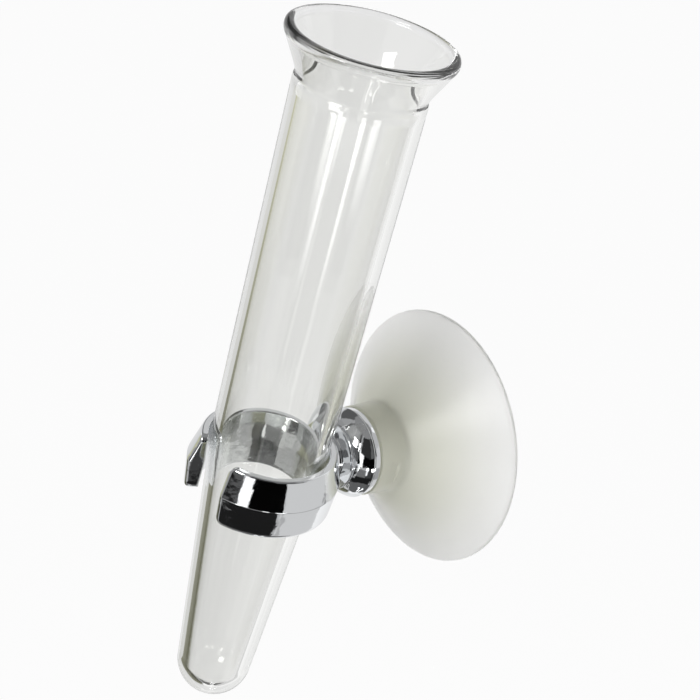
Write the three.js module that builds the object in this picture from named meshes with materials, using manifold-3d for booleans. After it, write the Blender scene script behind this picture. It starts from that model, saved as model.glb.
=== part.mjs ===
// Suction cup bud vase: a clear tube in a plated spring clip, on a soft suction cup.
// Millimetres. +Z is up along the vase, +Y points into the wall, and the origin is the centre of the cup's rim.
import * as THREE from "three";
import { mergeVertices } from "three/addons/utils/BufferGeometryUtils.js";
import Module from "manifold-3d";

const wasm = await Module();
wasm.setup();

// Vase tube: distance of its axis from the wall, and heights above the cup's axis.
const VASE_OFFSET = 40.2;
const VASE_WALL_TOP = 1.6;
const VASE_WALL_MIDDLE = 1.9;
const VASE_WALL_END = 2.15;
const TAPER_START_Z = 6.3;
const TAPER_START_RADIUS = 10.88;
const TAPER_SLOPE = 0.0698;
const TAPER_BLEND = 2.5;
const END_CENTRE_Z = -45.35;
const SHOULDER_Z = 74.6;
const SHOULDER_RADIUS = 11.29;
const NECK_Z = 75.6;
const NECK_RADIUS = 11.03;
const LIP_TOP_Z = 84.0;
const LIP_RADIUS = 14.4;
const LIP_BORE_RADIUS = 12.65;

// Clip ring: a barrel-shaped band, widest at its parting line, open at the front.
const RING_MID_Z = 0.7;
const RING_TOP_Z = 6.2;
const RING_BOTTOM_Z = -5.6;
const RING_MID_RADIUS = 14.2;
const RING_TOP_RADIUS = 12.5;
const RING_BOTTOM_RADIUS = 13.7;
const RING_BORE_MID_RADIUS = 10.8;
const RING_BORE_END_RADIUS = 11.2;
const GAP_HALF_ANGLE = THREE.MathUtils.degToRad(22);
const GAP_END_ROUND = 0.9;
const GAP_CORNER_ROUND = 1.5;

// Clip collar: neck, flange, bulge and skirt turned about the cup's axis, with a blind socket.
const NECK_START_Y = -28.3;
const COLLAR_NECK_RADIUS = 4.1;
const FLANGE_Y = -24.2;
const FLANGE_RADIUS = 6.5;
const GROOVE_Y = -23.2;
const GROOVE_RADIUS = 5.25;
const BULGE_RADIUS = 8.65;
const SKIRT_RADIUS = 8.4;
const COLLAR_BACK_Y = -19.2;
const SOCKET_MOUTH_RADIUS = 3.6;
const SOCKET_RADIUS = 4.6;
const SOCKET_MOUTH_DEPTH = 0.8;
const SOCKET_DEPTH = 3.0;

// Suction cup: stem with a mushroom head, boss, concave cone and flat sealing lip.
const CUP_RADIUS = 25;
const CUP_EDGE = 0.5;
const SEAL_INNER_RADIUS = 22.6;
const LIP_START_RADIUS = 21.3;
const LIP_START_Y = -2.9;
const BOSS_FRONT_Y = -18.9;
const BOSS_RADIUS = 8.6;
const BOSS_BASE_Y = -13.8;
const HOLLOW_DEPTH = 10.6;
const STEM_RADIUS = 3.2;
const HEAD_RADIUS = 4.2;
const HEAD_BACK_Y = -20.3;
const HEAD_FRONT_Y = -21.8;
const PAD_WIDTH = 2.2;
const PAD_HEIGHT = 5.6;
const PAD_Y = -15.9;
const PAD_X = 8.1;

// Facets round each turned surface, and per curve of a profile.
const VASE_FACETS = 52;
const RING_FACETS = 72;
const COLLAR_FACETS = 40;
const CUP_FACETS = 52;
const CURVE_STEPS = 4;

// A closed surface as a solid: equal corners are joined and collapsed facets are dropped.
function solidOf(geometry) {
  const bare = new THREE.BufferGeometry().setAttribute("position", geometry.getAttribute("position"));
  if (geometry.index) bare.setIndex(geometry.index);
  const merged = mergeVertices(bare, 1e-4);
  const kept = [];
  const index = merged.index.array;
  for (let i = 0; i < index.length; i += 3) {
    const [a, b, c] = [index[i], index[i + 1], index[i + 2]];
    if (a !== b && b !== c && c !== a) kept.push(a, b, c);
  }
  const vertProperties = merged.getAttribute("position").array;
  return new wasm.Manifold(new wasm.Mesh({ numProp: 3, vertProperties, triVerts: new Uint32Array(kept) }));
}

// A solid as a named mesh.
function meshOf(name, solid, material) {
  const { vertProperties, triVerts, numProp, numVert } = solid.getMesh();
  const position = new Float32Array(numVert * 3);
  for (let i = 0; i < numVert; i += 1) {
    position.set(vertProperties.subarray(i * numProp, i * numProp + 3), i * 3);
  }
  const geometry = new THREE.BufferGeometry();
  geometry.setAttribute("position", new THREE.BufferAttribute(position, 3));
  geometry.setIndex(new THREE.BufferAttribute(new Uint32Array(triVerts), 1));
  geometry.computeVertexNormals();
  const mesh = new THREE.Mesh(geometry, material);
  mesh.name = name;
  return mesh;
}

// A profile of radius and height, turned about the cup's axis.
function turnedAboutCup(path, facets) {
  return new THREE.LatheGeometry(path.getPoints(CURVE_STEPS), facets);
}

// A profile of radius and height, turned about the vase's axis.
function turnedAboutVase(path, facets) {
  return turnedAboutCup(path, facets).rotateX(Math.PI / 2).translate(0, -VASE_OFFSET, 0);
}

// Tube: up the outside from the tip, over the lip, and down the bore.
function vaseSolid() {
  const tilt = Math.atan(TAPER_SLOPE);
  const taperRadius = (z) => TAPER_START_RADIUS + TAPER_SLOPE * (z - TAPER_START_Z);
  const bodySlope = (SHOULDER_RADIUS - TAPER_START_RADIUS) / (SHOULDER_Z - TAPER_START_Z);
  const bodyRadius = (z) => TAPER_START_RADIUS + bodySlope * (z - TAPER_START_Z);
  const endRadius = taperRadius(END_CENTRE_Z) * Math.cos(tilt);
  const boreEnd = endRadius - VASE_WALL_END;
  const low = TAPER_START_Z - TAPER_BLEND;
  const high = TAPER_START_Z + TAPER_BLEND;
  const path = new THREE.Path();
  path.moveTo(0, END_CENTRE_Z - endRadius);
  path.absarc(0, END_CENTRE_Z, endRadius, -Math.PI / 2, -tilt, false);
  path.lineTo(taperRadius(low), low);
  path.quadraticCurveTo(TAPER_START_RADIUS, TAPER_START_Z, bodyRadius(high), high);
  path.lineTo(SHOULDER_RADIUS, SHOULDER_Z);
  path.quadraticCurveTo(SHOULDER_RADIUS, SHOULDER_Z + 0.7, NECK_RADIUS, NECK_Z);
  path.bezierCurveTo(NECK_RADIUS + 0.1, NECK_Z + 1.4, 12.7, LIP_TOP_Z - 4.8, 13.95, LIP_TOP_Z - 2.1);
  path.quadraticCurveTo(LIP_RADIUS, LIP_TOP_Z - 1.6, LIP_RADIUS, LIP_TOP_Z - 1.0);
  path.quadraticCurveTo(LIP_RADIUS, LIP_TOP_Z, LIP_RADIUS - 0.9, LIP_TOP_Z);
  path.quadraticCurveTo(LIP_BORE_RADIUS, LIP_TOP_Z, LIP_BORE_RADIUS, LIP_TOP_Z - 0.7);
  const boreNeck = NECK_RADIUS - VASE_WALL_TOP;
  const boreMiddle = TAPER_START_RADIUS - VASE_WALL_MIDDLE;
  path.bezierCurveTo(12.0, LIP_TOP_Z - 2.1, boreNeck + 0.12, NECK_Z + 2.0, boreNeck, NECK_Z);
  path.quadraticCurveTo(boreNeck, SHOULDER_Z + 0.4, SHOULDER_RADIUS - VASE_WALL_TOP, SHOULDER_Z);
  path.lineTo(bodyRadius(high) - VASE_WALL_MIDDLE, high);
  path.quadraticCurveTo(boreMiddle, TAPER_START_Z, taperRadius(low) - VASE_WALL_MIDDLE, low);
  path.lineTo(boreEnd * Math.cos(tilt), END_CENTRE_Z - boreEnd * Math.sin(tilt));
  path.absarc(0, END_CENTRE_Z, boreEnd, -tilt, -Math.PI / 2, true);
  return solidOf(turnedAboutVase(path, VASE_FACETS));
}

// Ring: outside up from the bottom, over the flat top, and down the bore.
function ringSolid() {
  const top = RING_TOP_Z;
  const bottom = RING_BOTTOM_Z;
  const path = new THREE.Path();
  path.moveTo(RING_BORE_END_RADIUS, bottom);
  path.lineTo(RING_BOTTOM_RADIUS - 1.1, bottom);
  path.quadraticCurveTo(RING_BOTTOM_RADIUS - 0.1, bottom, RING_BOTTOM_RADIUS, bottom + 1.0);
  path.lineTo(RING_MID_RADIUS, RING_MID_Z);
  path.lineTo(RING_TOP_RADIUS + 0.1, top - 0.3);
  path.lineTo(RING_TOP_RADIUS - 0.15, top);
  path.lineTo(RING_BORE_END_RADIUS + 0.15, top);
  path.lineTo(RING_BORE_END_RADIUS, top - 0.15);
  path.lineTo(RING_BORE_MID_RADIUS, RING_MID_Z);
  path.lineTo(RING_BORE_END_RADIUS - 0.2, bottom + 0.3);
  path.lineTo(RING_BORE_END_RADIUS, bottom);
  return solidOf(turnedAboutVase(path, RING_FACETS));
}

// Space between the two arms in plan, with the ends of the arms rounded from bore to outside.
function armGapSolid() {
  const inner = RING_BORE_MID_RADIUS;
  const outer = RING_MID_RADIUS;
  const steps = 12;
  const edge = [];
  for (let i = 0; i <= steps; i += 1) {
    const s = (2 * i) / steps - 1;
    const radius = (inner + outer) / 2 + (s * (outer - inner)) / 2;
    const back = GAP_END_ROUND * (1 - Math.sqrt(1 - s * s));
    edge.push([radius, GAP_HALF_ANGLE + back / radius]);
  }
  edge.unshift([inner - 3, edge[0][1]]);
  edge.push([outer + 3, edge[edge.length - 1][1]]);
  const place = (side) => ([radius, angle]) =>
    new THREE.Vector2(side * radius * Math.sin(angle), -radius * Math.cos(angle));
  const outline = [...edge.map(place(1)), ...edge.map(place(-1)).reverse()];
  const margin = 2;
  const depth = RING_TOP_Z - RING_BOTTOM_Z + 2 * margin;
  const geometry = new THREE.ExtrudeGeometry(new THREE.Shape(outline), { depth, bevelEnabled: false });
  return solidOf(geometry.translate(0, -VASE_OFFSET, RING_BOTTOM_Z - margin));
}

// Space between the arms seen from the front, wider at the top and bottom, which rounds the corners of the arms.
function armCornerSolid() {
  const middle = (RING_TOP_Z + RING_BOTTOM_Z) / 2;
  const half = RING_TOP_Z - middle + 0.3;
  const narrow = RING_BORE_MID_RADIUS * Math.sin(GAP_HALF_ANGLE);
  const steps = 12;
  const edge = [];
  for (let i = 0; i <= steps; i += 1) {
    const s = Math.sin((i / steps - 0.5) * Math.PI);
    edge.push([narrow + GAP_CORNER_ROUND * (1 - Math.sqrt(1 - s * s)), s * half]);
  }
  const right = edge.map(([x, z]) => new THREE.Vector2(x, z));
  const left = edge.map(([x, z]) => new THREE.Vector2(-x, z)).reverse();
  const depth = RING_MID_RADIUS + 3;
  const geometry = new THREE.ExtrudeGeometry(new THREE.Shape([...right, ...left]), { depth, bevelEnabled: false });
  return solidOf(geometry.rotateX(Math.PI / 2).translate(0, -VASE_OFFSET, middle));
}

// Collar: from the neck inside the ring's wall back to the skirt, then into the socket.
function collarSolid() {
  const lipBack = COLLAR_BACK_Y - SOCKET_MOUTH_DEPTH;
  const path = new THREE.Path();
  path.moveTo(0, NECK_START_Y);
  path.lineTo(COLLAR_NECK_RADIUS, NECK_START_Y);
  path.lineTo(COLLAR_NECK_RADIUS, FLANGE_Y - 1.1);
  path.quadraticCurveTo(COLLAR_NECK_RADIUS, FLANGE_Y - 0.45, FLANGE_RADIUS - 0.3, FLANGE_Y - 0.25);
  path.quadraticCurveTo(FLANGE_RADIUS + 0.1, FLANGE_Y - 0.1, FLANGE_RADIUS - 0.3, FLANGE_Y + 0.15);
  path.quadraticCurveTo(GROOVE_RADIUS, FLANGE_Y + 0.4, GROOVE_RADIUS, GROOVE_Y);
  path.quadraticCurveTo(BULGE_RADIUS - 0.2, GROOVE_Y + 0.15, BULGE_RADIUS - 0.08, -21.3);
  path.quadraticCurveTo(BULGE_RADIUS + 0.06, -20.9, BULGE_RADIUS - 0.05, -20.4);
  path.lineTo(SKIRT_RADIUS - 0.2, -20.2);
  path.lineTo(SKIRT_RADIUS, -20.0);
  path.lineTo(SKIRT_RADIUS, COLLAR_BACK_Y - 0.2);
  path.lineTo(SKIRT_RADIUS - 0.2, COLLAR_BACK_Y);
  path.lineTo(SOCKET_MOUTH_RADIUS, COLLAR_BACK_Y);
  path.lineTo(SOCKET_MOUTH_RADIUS, lipBack);
  path.lineTo(SOCKET_RADIUS, lipBack);
  path.lineTo(SOCKET_RADIUS, COLLAR_BACK_Y - SOCKET_DEPTH + 0.4);
  path.lineTo(SOCKET_RADIUS - 0.6, COLLAR_BACK_Y - SOCKET_DEPTH);
  path.lineTo(0, COLLAR_BACK_Y - SOCKET_DEPTH);
  return solidOf(turnedAboutCup(path, COLLAR_FACETS));
}

// Clip: ring and collar as one moulding, with the front of the ring opened.
function clipSolid() {
  return ringSolid().subtract(armGapSolid()).subtract(armCornerSolid()).add(collarSolid());
}

// Cup: head and stem, boss, cone and lip on the outside, then the sealing face and the hollow.
function cupSolid() {
  const path = new THREE.Path();
  path.moveTo(0, HEAD_FRONT_Y);
  path.lineTo(HEAD_RADIUS - 1.2, HEAD_FRONT_Y);
  path.lineTo(HEAD_RADIUS - 0.3, HEAD_FRONT_Y + 0.4);
  path.lineTo(HEAD_RADIUS, HEAD_FRONT_Y + 1.0);
  path.lineTo(HEAD_RADIUS, HEAD_BACK_Y);
  path.lineTo(STEM_RADIUS, HEAD_BACK_Y);
  path.lineTo(STEM_RADIUS, BOSS_FRONT_Y);
  path.lineTo(BOSS_RADIUS - 0.3, BOSS_FRONT_Y);
  path.lineTo(BOSS_RADIUS, BOSS_FRONT_Y + 0.3);
  path.lineTo(BOSS_RADIUS + 0.1, BOSS_BASE_Y);
  path.quadraticCurveTo(BOSS_RADIUS + 0.1, BOSS_BASE_Y + 0.9, BOSS_RADIUS + 1.0, BOSS_BASE_Y + 1.5);
  path.bezierCurveTo(13.5, -9.3, 17.6, -5.3, LIP_START_RADIUS, LIP_START_Y);
  path.lineTo(CUP_RADIUS - 0.5, -CUP_EDGE - 0.45);
  path.quadraticCurveTo(CUP_RADIUS, -CUP_EDGE - 0.3, CUP_RADIUS, -CUP_EDGE);
  path.lineTo(CUP_RADIUS - 0.2, 0);
  path.lineTo(SEAL_INNER_RADIUS, 0);
  path.quadraticCurveTo(SEAL_INNER_RADIUS - 0.6, 0, SEAL_INNER_RADIUS - 1.2, -0.55);
  path.bezierCurveTo(17.5, -3.4, 13.0, -7.6, 8.0, 1.2 - HOLLOW_DEPTH);
  path.quadraticCurveTo(4.0, -HOLLOW_DEPTH, 0, -HOLLOW_DEPTH);
  const turned = solidOf(turnedAboutCup(path, CUP_FACETS));
  const pad = (side) => {
    const box = new THREE.BoxGeometry(3, PAD_WIDTH, PAD_HEIGHT);
    return solidOf(box.translate(side * (PAD_X + 1.5), PAD_Y, 0));
  };
  return turned.subtract(pad(1)).subtract(pad(-1));
}

const clear = new THREE.MeshStandardMaterial({
  color: 0xeef1ef,
  roughness: 0.05,
  metalness: 0,
  transparent: true,
  opacity: 0.35,
});
const plated = new THREE.MeshStandardMaterial({ color: 0xd8dadd, roughness: 0.06, metalness: 1 });
const frosted = new THREE.MeshStandardMaterial({
  color: 0xdedfda,
  roughness: 0.45,
  metalness: 0,
  transparent: true,
  opacity: 0.85,
});

const vase = new THREE.Group();
vase.name = "suction_cup_bud_vase";
vase.add(meshOf("vase_tube", vaseSolid(), clear));
vase.add(meshOf("clip", clipSolid(), plated));
vase.add(meshOf("suction_cup", cupSolid(), frosted));
export default vase;
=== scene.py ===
# %% [markdown]
# A bud vase for a tiled wall: a clear tube stands in a plated clip, and the clip turns on a soft suction cup.
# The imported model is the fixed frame. It gives the bodies that move and the box that the looks stay in.
# Everything below is worked out in the same frame: +Z up along the tube, +Y into the wall.
# The part's sizes are written in millimetres and become metres as each mesh is made. The stage is in metres.

# %% Load the frame
import math
import bpy
import numpy as np
from mathutils import Matrix, Vector


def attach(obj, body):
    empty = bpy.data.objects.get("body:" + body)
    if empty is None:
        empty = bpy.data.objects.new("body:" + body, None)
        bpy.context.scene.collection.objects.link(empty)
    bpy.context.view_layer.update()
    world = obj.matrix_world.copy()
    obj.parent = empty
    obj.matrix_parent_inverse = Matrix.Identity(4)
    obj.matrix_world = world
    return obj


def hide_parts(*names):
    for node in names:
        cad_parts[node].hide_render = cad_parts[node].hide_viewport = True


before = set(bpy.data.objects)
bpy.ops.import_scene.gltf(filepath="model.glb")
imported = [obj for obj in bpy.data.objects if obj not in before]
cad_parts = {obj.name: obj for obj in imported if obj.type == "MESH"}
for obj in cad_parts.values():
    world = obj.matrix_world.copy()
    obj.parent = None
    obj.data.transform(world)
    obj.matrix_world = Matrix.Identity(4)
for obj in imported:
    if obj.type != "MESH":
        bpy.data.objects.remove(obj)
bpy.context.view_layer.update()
MM = 0.001

# %% [markdown]
# All three mouldings are mostly turned shapes, so one idea does most of the work: a profile of radius
# and height, swept round an axis. The profile is joined from straight lines, round arcs and smooth curves,
# as on a drawing. Spinning a curve with a modifier would work too, but whole arrays keep the poles closed
# and the points evenly laid.

# %% Profile pieces
CURVE_POINTS = 18
SAME_POINT = 1e-6


def straight(start, end, count=2):
    """Points on the line from start to end: start plus an even share of the way."""
    share = np.linspace(0, 1, count)[:, None]
    return np.asarray(start) + share * (np.asarray(end) - np.asarray(start))


def arc(centre, radius, start, end, count=CURVE_POINTS):
    """Points on a circle: centre plus radius times cosine and sine of evenly spaced angles, in degrees."""
    angle = np.radians(np.linspace(start, end, count))
    return np.asarray(centre) + radius * np.stack([np.cos(angle), np.sin(angle)], 1)


def bend(start, corner, end, count=CURVE_POINTS):
    """A smooth corner: the weighted mean of start, corner and end, with squared weights that sum to one."""
    t = np.linspace(0, 1, count)[:, None]
    start, corner, end = map(np.asarray, (start, corner, end))
    return (1 - t) ** 2 * start + 2 * t * (1 - t) * corner + t ** 2 * end


def sweep_curve(start, pull_a, pull_b, end, count=2 * CURVE_POINTS):
    """An S or a long curve: the weighted mean of four points, with cubed weights that sum to one."""
    t = np.linspace(0, 1, count)[:, None]
    a, b, c, d = map(np.asarray, (start, pull_a, pull_b, end))
    return (1 - t) ** 3 * a + 3 * t * (1 - t) ** 2 * b + 3 * t ** 2 * (1 - t) * c + t ** 3 * d


def joined(*parts):
    """One profile from its parts in order, without the doubled points where two parts meet."""
    points = np.concatenate(parts)
    step = np.linalg.norm(np.diff(points, axis=0), axis=1)
    return points[np.concatenate([[True], step > SAME_POINT])]


print("profile helpers ready,", CURVE_POINTS, "points per curve")

# %% [markdown]
# A mesh is a grid of rows of points. Each end row is closed by a fan of triangles to a pole in its middle,
# so the skin has no hole. Smooth shading is cut where the skin really turns a corner.

# %% Grid to mesh
SHARP_ANGLE = math.radians(38)


def grid_faces(rows, columns):
    """Quads between neighbouring rows and columns of a grid that closes on itself across its columns."""
    row, column = np.meshgrid(np.arange(rows - 1), np.arange(columns), indexing="ij")
    after = (column + 1) % columns
    this_row, next_row = row * columns, (row + 1) * columns
    corners = [this_row + column, this_row + after, next_row + after, next_row + column]
    return np.stack(corners, -1).reshape(-1, 4)


def capped_mesh(name, grid):
    """A closed skin: a grid of rows of points, with a fan of triangles from each end row to its mean."""
    rows, columns, _ = grid.shape
    count = rows * columns
    points = np.concatenate([grid.reshape(-1, 3), [grid[0].mean(0), grid[-1].mean(0)]])
    around = np.arange(columns)
    after = (around + 1) % columns
    first_fan = np.stack([np.full(columns, count), after, around], 1)
    base = (rows - 1) * columns
    last_fan = np.stack([np.full(columns, count + 1), base + around, base + after], 1)
    faces = grid_faces(rows, columns).tolist() + first_fan.tolist() + last_fan.tolist()
    mesh = bpy.data.meshes.new(name)
    mesh.from_pydata(points.tolist(), [], faces)
    mesh.validate()
    mesh.shade_smooth()
    mesh.set_sharp_from_angle(angle=SHARP_ANGLE)
    return mesh


def as_piece(mesh):
    """Puts a mesh into the scene as an object at the origin."""
    piece = bpy.data.objects.new(mesh.name, mesh)
    bpy.context.scene.collection.objects.link(piece)
    return piece


def turned_grid(profile, facets, centre, along):
    """Radius and height to space: centre plus height on the axis plus radius on a circle square to it.
    Along is the axis letter. Angles run so that a profile that climbs on the outside has its faces out."""
    angle = np.linspace(0, 2 * math.pi, facets, endpoint=False)
    radius, height = profile[:, :1], profile[:, 1:]
    one, two = radius * np.cos(angle), radius * np.sin(angle)
    tall = np.broadcast_to(height, one.shape)
    places = {"Z": (one, two, tall), "Y": (two, tall, one)}
    return np.stack(places[along], -1) + np.asarray(centre)


print("corners sharper than", round(math.degrees(SHARP_ANGLE)), "degrees stay crisp")

# %% [markdown]
# The tube is one thick-walled clear moulding: a round end, a tapered lower part, an almost straight body,
# a small shoulder, and a flared mouth with a rolled lip. Light bends at both skins, so the bore is
# real geometry. A single sheet with a thin-wall shader would be lighter, but it can't show the dark
# and bright lines at the edges. An attribute marks the rolled lip, because it gets a duller finish
# and its tint is lifted to plain white, painted light that renders the lip lighter.

# %% Clear tube
VASE_AXIS_Y = -40.2
WALL_TOP = 1.6
WALL_MIDDLE = 1.9
WALL_END = 2.15
TAPER_START = np.array([10.88, 6.3])
TAPER_SLOPE = 0.0698
TAPER_BLEND = 2.5
END_CENTRE_Z = -45.35
SHOULDER = np.array([11.29, 74.6])
NECK = np.array([11.03, 75.6])
LIP_TOP_Z = 84.0
LIP_RADIUS = 14.4
LIP_BORE = 12.65
RIM_BAND = 1.8
RIM_SLACK = 0.01
POLE_ANGLE = 89.5
LONG_POINTS = 40
VASE_FACETS = 224


def tube_profile():
    """Up the outside from the tip, over the lip and down the bore. The bore is the outside less the wall,
    which grows thicker from the mouth to the tip, as the core that forms it is drawn out at the mouth."""
    tilt = math.degrees(math.atan(TAPER_SLOPE))
    top_wall = np.array([WALL_TOP, 0])
    middle_wall = np.array([WALL_MIDDLE, 0])
    end_centre = np.array([0, END_CENTRE_Z])
    taper_end = TAPER_START[0] + TAPER_SLOPE * (END_CENTRE_Z - TAPER_START[1])
    end_radius = taper_end * math.cos(math.radians(tilt))
    body_slope = (SHOULDER[0] - TAPER_START[0]) / (SHOULDER[1] - TAPER_START[1])
    low = TAPER_START - TAPER_BLEND * np.array([TAPER_SLOPE, 1])
    high = TAPER_START + TAPER_BLEND * np.array([body_slope, 1])
    flare_start = NECK + [0.1, 1.4]
    flare_bend = np.array([12.7, LIP_TOP_Z - 4.8])
    flare_top = np.array([13.95, LIP_TOP_Z - 2.1])
    lip_side = np.array([LIP_RADIUS, LIP_TOP_Z - 1.6])
    lip_out = np.array([LIP_RADIUS, LIP_TOP_Z - 1.0])
    lip_crown = np.array([LIP_RADIUS - 0.9, LIP_TOP_Z])
    lip_in = np.array([LIP_BORE, LIP_TOP_Z - 0.7])
    mouth_bend = np.array([12.0, LIP_TOP_Z - 2.1])
    bore_neck = NECK - top_wall
    bore_shoulder = SHOULDER - top_wall
    outside = joined(
        arc(end_centre, end_radius, -POLE_ANGLE, -tilt, LONG_POINTS),
        bend(low, TAPER_START, high),
        straight(high, SHOULDER, LONG_POINTS),
        bend(SHOULDER, SHOULDER + [0, 0.7], NECK),
        sweep_curve(NECK, flare_start, flare_bend, flare_top),
        bend(flare_top, lip_side, lip_out),
        bend(lip_out, (LIP_RADIUS, LIP_TOP_Z), lip_crown),
        bend(lip_crown, (LIP_BORE, LIP_TOP_Z), lip_in),
    )
    inside = joined(
        sweep_curve(lip_in, mouth_bend, bore_neck + [0.12, 2.0], bore_neck),
        bend(bore_neck, bore_neck - [0, 0.6], bore_shoulder),
        straight(bore_shoulder, high - middle_wall, LONG_POINTS),
        bend(high - middle_wall, TAPER_START - middle_wall, low - middle_wall),
        arc(end_centre, end_radius - WALL_END, -tilt, -POLE_ANGLE, LONG_POINTS),
    )
    return joined(outside, inside)


tube_outline = tube_profile()
tube_grid = turned_grid(tube_outline * MM, VASE_FACETS, (0, VASE_AXIS_Y * MM, 0), "Z")
tube = as_piece(capped_mesh("vase_tube_clear", tube_grid))
on_rim = (tube_outline[:, 1] > LIP_TOP_Z - RIM_BAND) & (tube_outline[:, 0] > LIP_BORE - RIM_SLACK)
rim_share = np.concatenate([np.repeat(on_rim, VASE_FACETS), [0, 0]]).astype(np.float32)
tube.data.attributes.new("rim", "FLOAT", "POINT").data.foreach_set("value", rim_share)
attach(tube, "vase")
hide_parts("vase_tube")
print("tube", len(tube.data.polygons), "faces, lowest point", round(tube_grid[..., 2].min() / MM, 2), "mm")

# %% [markdown]
# The clip's ring is a barrel-shaped band, widest at the parting line half way up, and open at the front.
# It is a closed section carried along an arc. Near each arm's end the section shrinks on a rounded curve,
# which gives the blunt, softened ends. Cutting a full ring open would leave flat ends with hard edges.

# %% Clip ring
RING_MID_Z = 0.7
RING_TOP_Z = 6.2
RING_BOTTOM_Z = -5.6
RING_MID = 14.2
RING_TOP = 12.5
RING_BOTTOM = 13.7
RING_BORE_MID = 10.8
RING_BORE_END = 11.2
RING_CORE = 12.3
GAP_HALF_ANGLE = 22.0
END_ROUND = 0.9
END_BLUNT = 0.6
END_CORNER = 1.5
END_STEPS = 28
RING_STEPS = 300


def ring_section():
    """The band's closed outline of radius and height: out along the bottom, up the outside,
    over the top and back down the bore."""
    bottom_in = np.array([RING_BORE_END + 0.2, RING_BOTTOM_Z])
    bottom_out = np.array([RING_BOTTOM - 1.1, RING_BOTTOM_Z])
    bottom_corner = np.array([RING_BOTTOM - 0.1, RING_BOTTOM_Z])
    side_low = np.array([RING_BOTTOM, RING_BOTTOM_Z + 1.0])
    seam_low = np.array([RING_MID - 0.02, RING_MID_Z - 0.1])
    seam = np.array([RING_MID, RING_MID_Z])
    seam_high = np.array([RING_MID - 0.04, RING_MID_Z + 0.12])
    side_high = np.array([RING_TOP + 0.12, RING_TOP_Z - 0.4])
    top_corner = np.array([RING_TOP, RING_TOP_Z])
    top_out = np.array([RING_TOP - 0.3, RING_TOP_Z])
    top_in = np.array([RING_BORE_END + 0.25, RING_TOP_Z])
    bore_top = np.array([RING_BORE_END, RING_TOP_Z])
    bore_high = np.array([RING_BORE_END - 0.02, RING_TOP_Z - 0.3])
    bore_seam = np.array([RING_BORE_MID, RING_MID_Z])
    bore_low = np.array([RING_BORE_END - 0.15, RING_BOTTOM_Z + 0.3])
    bore_bottom = np.array([RING_BORE_END - 0.1, RING_BOTTOM_Z])
    outline = joined(
        straight(bottom_in, bottom_out, 6),
        bend(bottom_out, bottom_corner, side_low, 12),
        straight(side_low, seam_low, 14),
        bend(seam_low, seam, seam_high, 5),
        straight(seam_high, side_high, 14),
        bend(side_high, top_corner, top_out, 8),
        straight(top_out, top_in, 5),
        bend(top_in, bore_top, bore_high, 6),
        straight(bore_high, bore_seam, 12),
        straight(bore_seam, bore_low, 12),
        bend(bore_low, bore_bottom, bottom_in, 5),
    )
    return outline[:-1]


def ring_grid():
    """Carries the section round the tube's axis from one arm's end to the other. Near an end, with
    the distance left to it, the wall thins on a quarter ellipse to a blunt share, and the height drops
    on a quarter circle. The section is taken in reverse order, so that the faces point out."""
    section = ring_section()
    middle = np.array([RING_CORE, (RING_TOP_Z + RING_BOTTOM_Z) / 2])
    start, end = GAP_HALF_ANGLE, 360 - GAP_HALF_ANGLE
    reach = math.degrees(END_CORNER / RING_CORE)
    ease = reach * (1 - np.cos(np.linspace(0, math.pi / 2, END_STEPS)))
    along = np.linspace(start + reach, end - reach, RING_STEPS)[1:-1]
    angle = np.concatenate([start + ease, along, end - ease[::-1]])
    left = np.radians(np.minimum(angle - start, end - angle)) * RING_CORE
    thin = np.sqrt(1 - np.clip(1 - left / END_ROUND, 0, 1) ** 2)
    wall = END_BLUNT + (1 - END_BLUNT) * thin
    drop = 1 - np.sqrt(1 - np.clip(1 - left / END_CORNER, 0, 1) ** 2)
    tall = 1 - drop * END_CORNER / (RING_TOP_Z - middle[1])
    points = middle + np.stack([wall, tall], 1)[:, None] * (section - middle)
    turn = np.radians(angle)[:, None]
    x = points[..., 0] * np.sin(turn)
    y = VASE_AXIS_Y - points[..., 0] * np.cos(turn)
    return np.stack([x, y, points[..., 1]], -1)[:, ::-1]


band = ring_grid()
ring = as_piece(capped_mesh("clip_ring_plated", band * MM))
print("ring", len(ring.data.polygons), "faces, arms", round(2 * band[0, :, 0].mean(), 2), "mm apart")

# %% [markdown]
# Behind the ring the same moulding goes on as a turned collar: a short neck, a thin flange with a sharp edge,
# a groove, a domed bulge, a fine groove and a skirt. The skirt's back face has the blind socket for the cup.
# It is turned about the cup's axis, because the clip swivels there. The profile starts and ends
# a small radius off the axis, where the pole points close it.

# %% Clip collar
POLE_RADIUS = 0.4
ROOT_START_Y = -28.3
ROOT_END_Y = -26.6
ROOT_RADIUS = 5.3
NECK_RADIUS = 4.1
NECK_BEND_Y = -26.2
FLANGE_Y = -24.2
FLANGE_RADIUS = 6.5
GROOVE = np.array([5.9, -23.85])
BULGE_RADIUS = 8.65
BULGE_CROWN_Y = -20.8
SKIRT_RADIUS = 8.4
FINE_GROOVE = np.array([8.2, -20.6])
COLLAR_BACK_Y = -19.2
SOCKET_MOUTH = 3.6
SOCKET_RADIUS = 4.6
SOCKET_LIP = 0.8
SOCKET_DEPTH = 3.0
COLLAR_FACETS = 160


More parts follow.
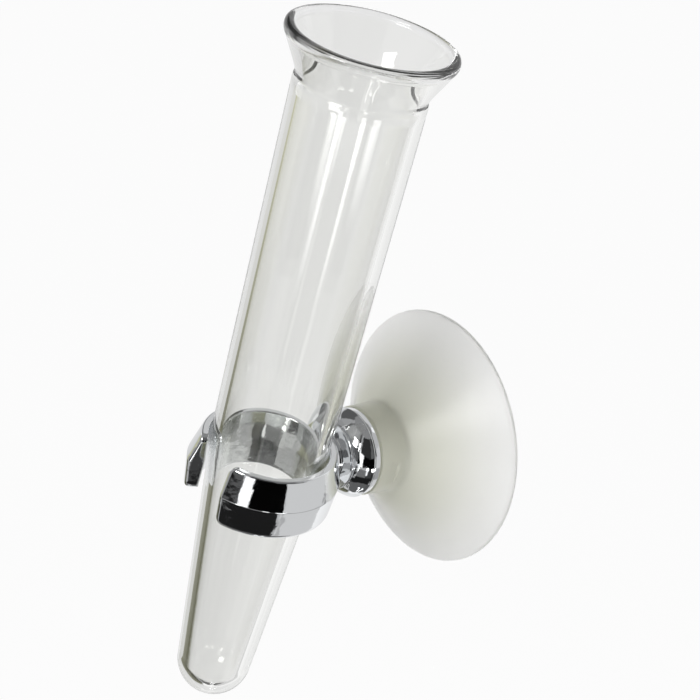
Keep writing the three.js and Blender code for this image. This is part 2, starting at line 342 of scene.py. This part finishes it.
def collar_front():
    """Radius and height along the cup's axis, from the neck's root in the ring's wall to the fine groove."""
    root_edge = np.array([ROOT_RADIUS, ROOT_START_Y])
    root_end = np.array([ROOT_RADIUS, ROOT_END_Y])
    neck_end = np.array([NECK_RADIUS, FLANGE_Y - 1.1])
    flange_foot = np.array([NECK_RADIUS, FLANGE_Y - 0.45])
    flange_front = np.array([FLANGE_RADIUS - 0.3, FLANGE_Y - 0.25])
    flange_edge = np.array([FLANGE_RADIUS + 0.15, FLANGE_Y - 0.1])
    flange_back = np.array([FLANGE_RADIUS - 0.3, FLANGE_Y + 0.15])
    groove_wall = np.array([GROOVE[0] - 0.1, FLANGE_Y + 0.2])
    dome_bend = np.array([BULGE_RADIUS - 0.87, GROOVE[1] + 0.95])
    bulge_front = np.array([BULGE_RADIUS - 0.1, BULGE_CROWN_Y - 0.25])
    bulge_crown = np.array([BULGE_RADIUS + 0.05, BULGE_CROWN_Y])
    bulge_back = np.array([BULGE_RADIUS - 0.1, BULGE_CROWN_Y + 0.1])
    groove_edge = np.array([FINE_GROOVE[0], bulge_back[1]])
    return joined(
        straight((POLE_RADIUS, ROOT_START_Y), root_edge, 4),
        straight(root_edge, root_end, 4),
        bend(root_end, (NECK_RADIUS, NECK_BEND_Y), neck_end),
        bend(neck_end, flange_foot, flange_front),
        bend(flange_front, flange_edge, flange_back),
        bend(flange_back, groove_wall, GROOVE),
        bend(GROOVE, dome_bend, bulge_front, 2 * CURVE_POINTS),
        bend(bulge_front, bulge_crown, bulge_back),
        bend(bulge_back, groove_edge, FINE_GROOVE, 6),
    )


def collar_back():
    """The skirt behind the fine groove, its back face, and the socket down to the axis."""
    skirt_front = np.array([SKIRT_RADIUS, FINE_GROOVE[1] + 0.25])
    skirt_back = np.array([SKIRT_RADIUS, COLLAR_BACK_Y - 0.25])
    skirt_corner = np.array([SKIRT_RADIUS, COLLAR_BACK_Y])
    face_edge = np.array([SKIRT_RADIUS - 0.25, COLLAR_BACK_Y])
    lip_y = COLLAR_BACK_Y - SOCKET_LIP
    floor_y = COLLAR_BACK_Y - SOCKET_DEPTH
    return joined(
        bend(FINE_GROOVE, skirt_front - [0, 0.12], skirt_front, 6),
        straight(skirt_front, skirt_back, 3),
        bend(skirt_back, skirt_corner, face_edge, 6),
        straight(face_edge, (SOCKET_MOUTH, COLLAR_BACK_Y), 5),
        straight((SOCKET_MOUTH, COLLAR_BACK_Y), (SOCKET_MOUTH, lip_y), 3),
        straight((SOCKET_MOUTH, lip_y), (SOCKET_RADIUS, lip_y), 3),
        straight((SOCKET_RADIUS, lip_y), (SOCKET_RADIUS, floor_y), 3),
        straight((SOCKET_RADIUS, floor_y), (POLE_RADIUS, floor_y), 4),
    )


collar_outline = joined(collar_front(), collar_back())
collar_grid = turned_grid(collar_outline * MM, COLLAR_FACETS, (0, 0, 0), "Y")
collar = as_piece(capped_mesh("clip_collar_plated", collar_grid))
for plated in (ring, collar):
    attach(plated, "clip")
    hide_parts("clip")
print("collar", len(collar.data.polygons), "faces")

# %% [markdown]
# The suction cup is a soft frosted moulding, also turned about the cup's axis: a mushroom head on a stem
# inside the clip's socket, a boss, a hollow cone that sweeps out like a trumpet, and a thin flat lip
# that seals on the wall. Two small flats on the sides of the boss are pressed into the turned skin
# by pulling its points in to a plane.

# %% Suction cup
CUP_RADIUS = 25.0
CUP_EDGE = 0.5
SEAL_INNER = 24.2
LIP_START = np.array([21.3, -2.9])
BOSS_FRONT_Y = -18.9
BOSS_RADIUS = 8.6
BOSS_ROUND = 0.3
BOSS_BASE_Y = -13.8
BOSS_DRAFT = 0.1
HOLLOW_DEPTH = 10.6
STEM_RADIUS = 3.2
HEAD_RADIUS = 4.2
HEAD_BACK_Y = -20.3
HEAD_FRONT_Y = -21.8
PAD_SIZE = np.array([2.2, 5.6])
PAD_Y = -15.9
PAD_X = 8.25
PAD_EDGE = 0.25
CUP_FACETS = 288


def cup_outside():
    """Radius and height along the cup's axis: head, stem, boss, trumpet cone and lip, to the lip's edge."""
    head_edge = np.array([HEAD_RADIUS - 1.2, HEAD_FRONT_Y])
    head_side = np.array([HEAD_RADIUS, HEAD_FRONT_Y + 1.0])
    head_back = np.array([HEAD_RADIUS, HEAD_BACK_Y])
    stem_front = np.array([STEM_RADIUS, HEAD_BACK_Y])
    stem_back = np.array([STEM_RADIUS, BOSS_FRONT_Y])
    boss_edge = np.array([BOSS_RADIUS - BOSS_ROUND, BOSS_FRONT_Y])
    boss_side = np.array([BOSS_RADIUS, BOSS_FRONT_Y + BOSS_ROUND])
    boss_base = np.array([BOSS_RADIUS + BOSS_DRAFT, BOSS_BASE_Y])
    cone_foot = np.array([BOSS_RADIUS + BOSS_DRAFT, BOSS_BASE_Y + 0.9])
    cone_start = np.array([BOSS_RADIUS + 1.0, BOSS_BASE_Y + 1.5])
    cone_bend = np.array([13.5, -9.3])
    trumpet_bend = np.array([17.6, -5.3])
    lip_edge = np.array([CUP_RADIUS - 0.5, -CUP_EDGE - 0.45])
    return joined(
        straight((POLE_RADIUS, HEAD_FRONT_Y), head_edge, 3),
        bend(head_edge, (HEAD_RADIUS, HEAD_FRONT_Y), head_side, 8),
        straight(head_side, head_back, 3),
        straight(head_back, stem_front, 3),
        straight(stem_front, stem_back, 3),
        straight(stem_back, boss_edge, 4),
        bend(boss_edge, (BOSS_RADIUS, BOSS_FRONT_Y), boss_side, 8),
        straight(boss_side, boss_base, 72),
        bend(boss_base, cone_foot, cone_start),
        sweep_curve(cone_start, cone_bend, trumpet_bend, LIP_START, 48),
        straight(LIP_START, lip_edge, 10),
        bend(lip_edge, (CUP_RADIUS, -CUP_EDGE - 0.3), (CUP_RADIUS, -CUP_EDGE), 8),
    )


def cup_inside():
    """From the lip's edge over the flat sealing ring and up the hollow to the axis."""
    seal_out = np.array([CUP_RADIUS - 0.25, 0])
    seal_in = np.array([SEAL_INNER, 0])
    hollow_start = np.array([SEAL_INNER - 0.8, -0.4])
    hollow_bend = np.array([18.6, -3.3])
    hollow_rise = np.array([13.0, -7.6])
    roof_edge = np.array([8.0, 1.2 - HOLLOW_DEPTH])
    return joined(
        bend((CUP_RADIUS, -CUP_EDGE), (CUP_RADIUS, 0), seal_out, 8),
        straight(seal_out, seal_in, 5),
        bend(seal_in, seal_in - [0.2, 0], hollow_start, 8),
        sweep_curve(hollow_start, hollow_bend, hollow_rise, roof_edge, 40),
        bend(roof_edge, (4.0, -HOLLOW_DEPTH), (POLE_RADIUS, -HOLLOW_DEPTH), 14),
    )


def press_flats(grid):
    """Inside a soft-edged rectangle on each side of the boss, a point moves in along X to the flat's plane.
    The soft edge is a smooth step of the distance to the rectangle's border."""
    x, y, z = np.moveaxis(grid, -1, 0)
    inset = np.minimum(PAD_SIZE[0] / 2 - np.abs(y - PAD_Y), PAD_SIZE[1] / 2 - np.abs(z))
    share = np.clip(inset / PAD_EDGE, 0, 1)
    share = share * share * (3 - 2 * share)
    flat = np.sign(x) * np.minimum(np.abs(x), PAD_X)
    return np.stack([x + share * (flat - x), y, z], -1)


cup_outline = joined(cup_outside(), cup_inside())
cup_grid = press_flats(turned_grid(cup_outline, CUP_FACETS, (0, 0, 0), "Y")) * MM
cup = as_piece(capped_mesh("suction_cup_frosted", cup_grid))
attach(cup, "cup")
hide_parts("suction_cup")
print("cup", len(cup.data.polygons), "faces")

# %% [markdown]
# Several node trees below work out a value from others. One helper makes a math node and fills its inputs,
# each with a link or with a plain number, so a formula reads as one line for each step.

# %% Math node


def math_node(tree, operation, *given):
    """A math node of a tree, with its inputs linked to sockets or set to numbers. Returns its output."""
    node = tree.nodes.new("ShaderNodeMath")
    node.operation = operation
    for socket, value in zip(node.inputs, given):
        if isinstance(value, bpy.types.NodeSocket):
            tree.links.new(value, socket)
        else:
            socket.default_value = value
    return node.outputs[0]


print("math node helper ready")

# %% [markdown]
# Moulded plastic is never perfectly even. One small node group gives all three finishes their unevenness:
# a broad ripple from the mould and a fine grain, as a roughness value and a height, each material with
# its own amounts. It is a group so that the pattern is built once and tuned per finish.

# %% Shared moulding unevenness
RIPPLE_DETAIL = 3
GRAIN_DETAIL = 2
UNEVENNESS_DEFAULTS = {
    "Ripple Scale": 120.0,
    "Grain Scale": 4000.0,
    "Roughness": 0.1,
    "Variation": 0.05,
    "Grain": 0.3,
}


def moulding_group():
    """Roughness is a base plus a share of broad noise; height is broad noise plus a share of fine noise."""
    group = bpy.data.node_groups.new("moulding_unevenness", "ShaderNodeTree")
    for label, value in UNEVENNESS_DEFAULTS.items():
        made = group.interface.new_socket(label, in_out="INPUT", socket_type="NodeSocketFloat")
        made.default_value = value
    for label in ("Roughness", "Height"):
        group.interface.new_socket(label, in_out="OUTPUT", socket_type="NodeSocketFloat")
    nodes, links = group.nodes, group.links
    given, put = nodes.new("NodeGroupInput").outputs, nodes.new("NodeGroupOutput").inputs
    place = nodes.new("ShaderNodeTexCoord").outputs["Object"]
    ripple, grain = nodes.new("ShaderNodeTexNoise"), nodes.new("ShaderNodeTexNoise")
    ripple.inputs["Detail"].default_value = RIPPLE_DETAIL
    grain.inputs["Detail"].default_value = GRAIN_DETAIL
    for noise, scale in ((ripple, "Ripple Scale"), (grain, "Grain Scale")):
        links.new(place, noise.inputs["Vector"])
        links.new(given[scale], noise.inputs["Scale"])
    broad, fine = ripple.outputs["Fac"], grain.outputs["Fac"]
    rough = math_node(group, "MULTIPLY_ADD", broad, given["Variation"], given["Roughness"])
    height = math_node(group, "MULTIPLY_ADD", fine, given["Grain"], broad)
    links.new(rough, put["Roughness"])
    links.new(height, put["Height"])
    return group


UNEVENNESS = moulding_group()
print("group sockets", [item.name for item in UNEVENNESS.interface.items_tree])

# %% [markdown]
# Each finish starts from the same Principled material, with the group on its roughness and on its bump.
# The bump bends the light and leaves the outline as it is.

# %% Finish maker


def finish_material(name, colour, bump_depth, bump_strength, **amounts):
    """A Principled material with the unevenness group on its roughness and its bump."""
    material = bpy.data.materials.new(name)
    material.use_nodes = True
    nodes, links = material.node_tree.nodes, material.node_tree.links
    shader = nodes["Principled BSDF"]
    shader.inputs["Base Color"].default_value = colour
    uneven = nodes.new("ShaderNodeGroup")
    uneven.node_tree = UNEVENNESS
    for label, value in amounts.items():
        uneven.inputs[label.replace("_", " ")].default_value = value
    bump = nodes.new("ShaderNodeBump")
    bump.inputs["Strength"].default_value = bump_strength
    bump.inputs["Distance"].default_value = bump_depth
    links.new(uneven.outputs["Height"], bump.inputs["Height"])
    links.new(uneven.outputs["Roughness"], shader.inputs["Roughness"])
    links.new(bump.outputs["Normal"], shader.inputs["Normal"])
    return material, shader


print("finish maker ready, with", UNEVENNESS.name)

# %% [markdown]
# The tube's plastic is water clear with a trace of grey, polished inside and out. Real refraction does
# the rest: full transmission, an index near that of clear plastics, and almost no roughness.
# Only the rolled lip is a little dull, and its tint is lifted to plain white, painted light that makes
# the lip render lighter than the body. Light runs a long way inside the thick lip, so the paths may bounce
# more often than Blender allows by default.

# %% Clear finish
WHITE = (1, 1, 1, 1)
PLASTIC_INDEX = 1.5
RIM_ROUGHNESS = 0.10
PATH_BOUNCES = 32
BODY_TINT = (0.985, 0.987, 0.975, 1)
clear, clear_shader = finish_material(
    "clear_plastic", BODY_TINT, bump_depth=0.00002, bump_strength=0.15,
    Ripple_Scale=90.0, Grain_Scale=2500.0, Roughness=0.005, Variation=0.02, Grain=0.05,
)
clear_shader.inputs["Transmission Weight"].default_value = 1.0
clear_shader.inputs["IOR"].default_value = PLASTIC_INDEX
clear_tree = clear.node_tree
rim_mask = clear_tree.nodes.new("ShaderNodeAttribute")
rim_mask.attribute_name = "rim"
body_rough = clear_shader.inputs["Roughness"].links[0].from_socket
rim_rough = math_node(clear_tree, "MULTIPLY_ADD", rim_mask.outputs["Fac"], RIM_ROUGHNESS, body_rough)
clear_tree.links.new(rim_rough, clear_shader.inputs["Roughness"])
# Painted light: on the rolled lip the tint is lifted from the body's trace of grey to plain white, so the lip
# renders lighter.
rim_painted_lift = clear_tree.nodes.new("ShaderNodeMix")
rim_painted_lift.data_type = "RGBA"
rim_painted_lift.inputs["A"].default_value = BODY_TINT
rim_painted_lift.inputs["B"].default_value = WHITE
clear_tree.links.new(rim_mask.outputs["Fac"], rim_painted_lift.inputs["Factor"])
clear_tree.links.new(rim_painted_lift.outputs["Result"], clear_shader.inputs["Base Color"])
tube.data.materials.append(clear)
light_paths = bpy.context.scene.cycles
light_paths.glossy_bounces = PATH_BOUNCES
light_paths.transmission_bounces = PATH_BOUNCES
light_paths.max_bounces = PATH_BOUNCES
print("clear finish on", tube.name)

# %% [markdown]
# Bright plating over moulded plastic is a mirror that follows every small sink and ripple of the moulding.
# The mirror is fully metallic. A faint ripple bends the reflections, as on cheap plating.

# %% Plated finish
PLATING_COLOUR = (0.855, 0.87, 0.885, 1)
plating, plating_shader = finish_material(
    "plated_plastic", PLATING_COLOUR, bump_depth=0.0002, bump_strength=0.6,
    Ripple_Scale=220.0, Grain_Scale=5000.0, Roughness=0.03, Variation=0.05, Grain=0.03,
)
plating_shader.inputs["Metallic"].default_value = 1.0
for plated in (ring, collar):
    plated.data.materials.append(plating)
print("plated finish on", ring.name, "and", collar.name)

# %% [markdown]
# The cup's soft vinyl is frosted: light goes in, scatters and comes out again, so it looks grey white
# and never glossy. Part transmission through a rough skin gives the glow, and a fine grain gives
# the frosting. The colour follows the distance from the axis: the thick boss is darker and a little olive,
# partly the vinyl's own tint and partly painted shade, and the thin lip is painted nearly white,
# a painted glow of light shining through it. The inside also soaks up a little light on the way through.

# %% Frosted finish
# Painted light and shade: the base colour is darker and olive at the thick boss, partly the vinyl's tint and
# partly painted shade, and nearly white at the thin lip, a painted glow.
THICK_TINT_AND_SHADE = (0.79, 0.795, 0.71, 1)
THIN_PALE_AND_GLOW = (0.985, 0.985, 0.98, 1)
SHADE_RAMP_START = 9.6
FROST_TRANSMISSION = 0.6
SOAK_COLOUR = (0.90, 0.90, 0.83, 1)
SOAK_PER_METRE = 120
frosted, frosted_shader = finish_material(
    "frosted_vinyl", THIN_PALE_AND_GLOW, bump_depth=0.00003, bump_strength=0.35,
    Ripple_Scale=140.0, Grain_Scale=3500.0, Roughness=0.30, Variation=0.10, Grain=0.6,
)
frosted_shader.inputs["Transmission Weight"].default_value = FROST_TRANSMISSION
frosted_shader.inputs["IOR"].default_value = PLASTIC_INDEX
frosted_nodes, frosted_links = frosted.node_tree.nodes, frosted.node_tree.links
cup_place = frosted_nodes.new("ShaderNodeTexCoord")
off_axis = frosted_nodes.new("ShaderNodeVectorMath")
off_axis.operation = "MULTIPLY"
off_axis.inputs[1].default_value = (1, 0, 1)
from_axis = frosted_nodes.new("ShaderNodeVectorMath")
from_axis.operation = "LENGTH"
shade_to_glow_ramp = frosted_nodes.new("ShaderNodeMapRange")
shade_to_glow_ramp.interpolation_type = "SMOOTHSTEP"
shade_to_glow_ramp.inputs["From Min"].default_value = SHADE_RAMP_START * MM
shade_to_glow_ramp.inputs["From Max"].default_value = CUP_RADIUS * MM
# This mix paints the shade at the boss and the glow at the lip into the base colour, by the distance from the
# axis.
vinyl = frosted_nodes.new("ShaderNodeMix")
vinyl.data_type = "RGBA"
vinyl.inputs["A"].default_value = THICK_TINT_AND_SHADE
vinyl.inputs["B"].default_value = THIN_PALE_AND_GLOW
soak = frosted_nodes.new("ShaderNodeVolumeAbsorption")
soak.inputs["Color"].default_value = SOAK_COLOUR
soak.inputs["Density"].default_value = SOAK_PER_METRE
frosted_links.new(cup_place.outputs["Object"], off_axis.inputs[0])
frosted_links.new(off_axis.outputs["Vector"], from_axis.inputs[0])
frosted_links.new(from_axis.outputs["Value"], shade_to_glow_ramp.inputs["Value"])
frosted_links.new(shade_to_glow_ramp.outputs["Result"], vinyl.inputs["Factor"])
frosted_links.new(vinyl.outputs["Result"], frosted_shader.inputs["Base Color"])
frosted_links.new(soak.outputs[0], frosted_nodes["Material Output"].inputs["Volume"])
cup.data.materials.append(frosted)
print("frosted finish on", cup.name)

# %% [markdown]
# The stage is a pale floor well below the part, with a white world. Camera, mirror and clear-plastic rays
# see plain white, so the background is white without more light on the part. The floor is seen as white
# only in part, so that it still takes a shadow.

# %% Floor
FLOOR_Z = -0.90
FLOOR_HALF = 6.0
FLOOR_PALE = (0.95, 0.95, 0.95, 1)
FLOOR_SEEN_WHITE = 0.88


def seen_as_white(tree, lit, white, share):
    """Mixes the lit shader with a share of the white one, for camera, glossy and transmission rays."""
    path = tree.nodes.new("ShaderNodeLightPath").outputs
    camera_or_mirror = math_node(tree, "MAXIMUM", path["Is Camera Ray"], path["Is Glossy Ray"])
    seen = math_node(tree, "MAXIMUM", camera_or_mirror, path["Is Transmission Ray"])
    mix = tree.nodes.new("ShaderNodeMixShader")
    tree.links.new(math_node(tree, "MULTIPLY", seen, share), mix.inputs[0])
    tree.links.new(lit.outputs[0], mix.inputs[1])
    tree.links.new(white.outputs[0], mix.inputs[2])
    return mix.outputs[0]


def cleared_tree(owner):
    """The empty node tree of a material or a world."""
    owner.use_nodes = True
    owner.node_tree.nodes.clear()
    return owner.node_tree


floor_mesh = bpy.data.meshes.new("floor")
floor_corners = [(x * FLOOR_HALF, y * FLOOR_HALF, FLOOR_Z) for x, y in ((-1, -1), (1, -1), (1, 1), (-1, 1))]
floor_mesh.from_pydata(floor_corners, [], [(0, 1, 2, 3)])
floor = as_piece(floor_mesh)
floor_paint = bpy.data.materials.new("floor_paint")
floor_tree = cleared_tree(floor_paint)
floor_lit = floor_tree.nodes.new("ShaderNodeBsdfDiffuse")
floor_lit.inputs["Color"].default_value = FLOOR_PALE
floor_white = floor_tree.nodes.new("ShaderNodeEmission")
floor_look = seen_as_white(floor_tree, floor_lit, floor_white, FLOOR_SEEN_WHITE)
floor_out = floor_tree.nodes.new("ShaderNodeOutputMaterial")
floor_tree.links.new(floor_look, floor_out.inputs["Surface"])
floor_mesh.materials.append(floor_paint)
print("floor at", FLOOR_Z, "m")

# %% [markdown]
# The world is the even light of a white studio. It lights the part at three quarters of full strength,
# and the rays that see it directly find it plain white.

# %% World
WORLD_SEEN_WHITE = 1.0
WORLD_STRENGTH = 0.75
world = bpy.data.worlds.new("studio_world")
bpy.context.scene.world = world
world_tree = cleared_tree(world)
world_lit = world_tree.nodes.new("ShaderNodeBackground")
world_lit.inputs["Color"].default_value = WHITE
world_lit.inputs["Strength"].default_value = WORLD_STRENGTH
world_white = world_tree.nodes.new("ShaderNodeBackground")
world_white.inputs["Color"].default_value = WHITE
world_look = seen_as_white(world_tree, world_lit, world_white, WORLD_SEEN_WHITE)
world_out = world_tree.nodes.new("ShaderNodeOutputWorld")
world_tree.links.new(world_look, world_out.inputs["Surface"])
print("world strength", WORLD_STRENGTH)

# %% [markdown]
# A mirror and a clear tube need something to show their shape, so cards stand round the part out of sight,
# as in a photographer's studio. Each card is a patch of a big sphere, given by two bearings and two heights
# in degrees. A card is even, or its brightness runs from its low edge to its high edge,
# or from its first bearing to its last.
# Only mirror and clear-plastic rays meet the cards, so they throw no shadow or light on the part.
# The cards in front and above are there for reflections alone. A ray that went straight through the tube
# finds them pale, so the tube stays clear from every side. Light Path tells such a ray by its count
# of reflections, which is none.

# %% Card maker
CARD_RADIUS = 0.85
CARD_STEPS = 24
SEEN_THROUGH = 0.85
HALF_A_BOUNCE = 0.5


def pale_when_seen_through(tree, level):
    """The level, or the pale value for a transmitted ray whose count of reflections is still below one."""
    path = tree.nodes.new("ShaderNodeLightPath").outputs
    unreflected = math_node(tree, "LESS_THAN", path["Glossy Depth"], HALF_A_BOUNCE)
    straight_through = math_node(tree, "MULTIPLY", unreflected, path["Is Transmission Ray"])
    choice = tree.nodes.new("ShaderNodeMix")
    choice.inputs["B"].default_value = SEEN_THROUGH
    tree.links.new(straight_through, choice.inputs["Factor"])
    tree.links.new(level, choice.inputs["A"])
    return choice.outputs["Result"]


def card_paint(name, pale, tint):
    """A tinted glow as strong as the mesh's shine, or pale for rays that come straight through the tube."""
    paint = bpy.data.materials.new(name)
    tree = cleared_tree(paint)
    glow = tree.nodes.new("ShaderNodeEmission")
    glow.inputs["Color"].default_value = tint
    shine = tree.nodes.new("ShaderNodeAttribute")
    shine.attribute_name = "shine"
    level = shine.outputs["Fac"]
    if pale:
        level = pale_when_seen_through(tree, level)
    tree.links.new(level, glow.inputs["Strength"])
    out = tree.nodes.new("ShaderNodeOutputMaterial")
    tree.links.new(glow.outputs[0], out.inputs["Surface"])
    return paint


def studio_card(name, bearings, heights, brightness, radius=CARD_RADIUS, pale=False, tint=WHITE):
    """A patch of a sphere: bearing turns from minus Y towards plus X, height is above the horizon.
    Brightness is a table of corners, bearings down and heights across, and is spread evenly between them.
    Pale and tint are passed on to the card's paint."""
    corners = np.broadcast_to(np.asarray(brightness, float), (2, 2))
    share = np.linspace(0, 1, CARD_STEPS)
    along = np.stack([1 - share, share], 1)
    shine = along @ corners @ along.T
    bearing_steps = np.radians(np.linspace(*bearings, CARD_STEPS))
    height_steps = np.radians(np.linspace(*heights, CARD_STEPS))
    bearing, height = np.meshgrid(bearing_steps, height_steps, indexing="ij")
    level_x = np.cos(height) * np.sin(bearing)
    level_y = -np.cos(height) * np.cos(bearing)
    points = radius * np.stack([level_x, level_y, np.sin(height)], -1)
    row, column = np.meshgrid(np.arange(CARD_STEPS - 1), np.arange(CARD_STEPS - 1), indexing="ij")
    first = row * CARD_STEPS + column
    faces = np.stack([first, first + 1, first + CARD_STEPS + 1, first + CARD_STEPS], -1).reshape(-1, 4)
    mesh = bpy.data.meshes.new(name)
    mesh.from_pydata(points.reshape(-1, 3).tolist(), [], faces.tolist())
    mesh.attributes.new("shine", "FLOAT", "POINT").data.foreach_set("value", shine.ravel().astype(np.float32))
    card = as_piece(mesh)
    card.visible_camera = False
    card.visible_diffuse = False
    card.visible_shadow = False
    mesh.materials.append(card_paint(name, pale, tint))
    return card


print("card sphere", CARD_RADIUS, "m")

# %% [markdown]
# Behind and beside the part the cards are a grey backdrop: a clear tube shows its body only against grey.
# The two on the left are olive, and the dark lines in the tube's wall take that colour from them.
# In front they are a dark table and dark flags with a few bright gaps, which the plating mirrors
# as black and white. The narrow strips are the lamps' bright edges, which draw long streaks down the tube.
# A row gives a name, bearings, heights and brightness, and a radius where the card stands nearer than most.
# A nearer card hides a farther one.

# %% Cards
OLIVE = (1, 1, 0.70, 1)
SIDE_CARDS = (
    ("side_low", (-88, -25), (-80, -37), ((0.22,), (0.03,)), 0.82),
    ("side_fade", (-80, -25), (-37, -12), (0.06, 0.62), 0.82),
)
BACKDROP_CARDS = (
    ("back_left", (-133, -80), (-80, 15), ((0.86,), (0.66,))),
    ("back_mid", (205, 227), (-80, 15), ((0.81,), (0.86,))),
    ("back_right", (165, 205), (-80, 15), ((1.0,), (0.81,))),
    ("wall_grey", (88, 165), (-82, 30), 0.65),
    ("wall_mid", (92, 165), (-39.5, -15), 0.36, 0.83),
    ("wall_low", (88, 125), (-82, -52), 0.10, 0.83),
)
MIRROR_CARDS = (
    ("table_grey", (-80, 100), (-82, -12), 0.45),
    ("table_dark", (-12, 88), (-52, -36), 0.012, 0.83),
    ("table_near", (-12, 88), (-89, -52), 0.12, 0.83),
    ("table_front", (25, 61), (-36, -18), 0.17, 0.83),
    ("table_left", (-8, 25), (-36, -18), 0.60, 0.83),
    ("table_far", (-14, 16), (-23, -10), 0.03, 0.82),
    ("table_right", (61, 84), (-36, -12), 0.05, 0.83),
    ("bore_grey", (-40, 22), (-40, -35.5), 0.42, 0.80),
    ("arm_dark", (84, 100), (-36, -12), 0.01, 0.83),
    ("flag_dark", (40, 88), (-12, 14), 0.001),
    ("flag_left", (-60, -12), (-12, 22), 0.30),
    ("flag_front", (-12, 26), (-2, 22), 0.10),
    ("flag_low", (-12, 26), (-12, -2), 0.01),
    ("flag_upper", (-60, 30), (22, 55), 0.35),
    ("window_white", (26, 40), (-12, 14), 1.3),
    ("camera_dark", (30, 70), (14, 55), 0.03),
    ("side_upper", (70, 120), (14, 55), 0.12, 0.84),
    ("sky_left", (-175, -60), (15, 55), 0.60),
    ("sky_dark", (-118, -60), (20, 55), 0.10, 0.84),
    ("wall_upper", (120, 165), (30, 55), 0.50),
    ("ceiling_grey", (-180, 180), (55, 89), 0.25),
    ("strip_left", (23, 29), (-24.5, -12), (0.0, 12.0), 0.80),
    ("strip_near", (61, 67), (-30, -12), 1.0, 0.80),
    ("strip_near_top", (60, 68), (-19.5, -12), (0.0, 9.0), 0.79),
    ("strip_far_top", (79, 92), (-21.5, -12), (0.0, 9.0), 0.79),
    ("strip_near_low", (62, 66), (-80, -66), 4.0, 0.80),
    ("strip_far_low", (83, 87), (-80, -66), 4.0, 0.80),
)
sides = [studio_card(*card, tint=OLIVE) for card in SIDE_CARDS]
backdrop = [studio_card(*card) for card in BACKDROP_CARDS]
mirrored = [studio_card(*card, pale=True) for card in MIRROR_CARDS]
print("cards", len(sides + backdrop), "for the backdrop and", len(mirrored), "for reflections")

# %% [markdown]
# Soft light comes from a broad lamp in front and above, with one low on the right and one on the left.
# Only the first shows in mirrors. It puts the pale streak on the cup. The two others only lift
# the cup's shaded sides.

# %% Lamps
LAMP_AIM = Vector((0, -0.03, 0.01))


def soft_lamp(name, bearing, height, distance, size, power, shows):
    """A square area lamp at a bearing and a height in degrees, turned to face the part.
    Shows says if mirrors and the clear tube see the lamp itself."""
    turn, rise = math.radians(bearing), math.radians(height)
    away = Vector((math.cos(rise) * math.sin(turn), -math.cos(rise) * math.cos(turn), math.sin(rise)))
    data = bpy.data.lights.new(name, "AREA")
    data.shape = "SQUARE"
    data.size = size
    data.energy = power
    lamp = bpy.data.objects.new(name, data)
    bpy.context.scene.collection.objects.link(lamp)
    lamp.location = LAMP_AIM + away * distance
    lamp.visible_glossy = shows
    lamp.visible_transmission = shows
    lamp.rotation_mode = "QUATERNION"
    lamp.rotation_quaternion = (-away).to_track_quat("-Z", "Y")
    return lamp


lamps = [
    soft_lamp("key_lamp", bearing=12, height=23, distance=0.7, size=0.25, power=1.6, shows=True),
    soft_lamp("side_lamp", bearing=95, height=-12, distance=0.8, size=0.4, power=2.0, shows=False),
    soft_lamp("fill_lamp", bearing=-70, height=-5, distance=0.8, size=0.4, power=2.0, shows=False),
]
print("lamps", [(lamp.name, round(lamp.data.energy, 2)) for lamp in lamps])

# %% [markdown]
# The camera stands to the right of the part and above it, rolled so that the tube leans to the right
# in the picture. Its place and lens come from fitting the cup's rim, the lip and the tube's edges
# to their outlines.

# %% Camera
CAMERA_PLACE = Vector((0.18418, -0.20050, 0.16227))
CAMERA_LOOK = Vector((-0.63878, 0.60118, -0.48015))
CAMERA_RIGHT = Vector((0.56660, 0.78976, 0.23504))
FOCAL_PIXELS = 1600
IMAGE_PIXELS = 700
SENSOR_WIDTH = 36
NEAREST_SEEN = 0.01
camera_data = bpy.data.cameras.new("camera")
camera_data.sensor_width = SENSOR_WIDTH
camera_data.lens = SENSOR_WIDTH * FOCAL_PIXELS / IMAGE_PIXELS
camera_data.clip_start = NEAREST_SEEN
camera = bpy.data.objects.new("camera", camera_data)
bpy.context.scene.collection.objects.link(camera)
back = -CAMERA_LOOK.normalized()
up = back.cross(CAMERA_RIGHT).normalized()
right = up.cross(back)
facing = Matrix((right, up, back)).transposed()
camera.matrix_world = Matrix.Translation(CAMERA_PLACE) @ facing.to_4x4()
bpy.context.scene.camera = camera
bpy.context.scene.view_settings.view_transform = "Standard"
print("lens", round(camera_data.lens, 2), "mm")
